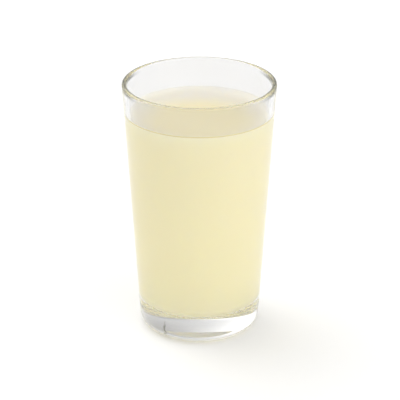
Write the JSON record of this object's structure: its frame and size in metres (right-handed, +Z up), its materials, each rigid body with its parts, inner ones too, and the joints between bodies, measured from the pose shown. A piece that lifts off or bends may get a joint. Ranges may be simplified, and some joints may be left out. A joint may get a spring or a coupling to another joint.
{
  "type": "glass of lemonade",
  "caption": "Clear tapered glass tumbler with a rounded edge and a heavy base, filled with cloudy pale yellow lemonade to a little below the edge.",
  "frame": {"origin": "middle of the resting ring, on the table", "axes": "+Z up along the axis of the glass; round, so +X and +Y are alike"},
  "size_m": [0.076, 0.076, 0.13],
  "materials": {
    "clear_glass": "clear, smooth, fire-polished",
    "lemonade": "cloudy pale yellow liquid with a smooth wet surface"
  },
  "bodies": {
    "root": {"tumbler": "clear_glass", "lemonade": "lemonade"}
  },
  "joints": []
}
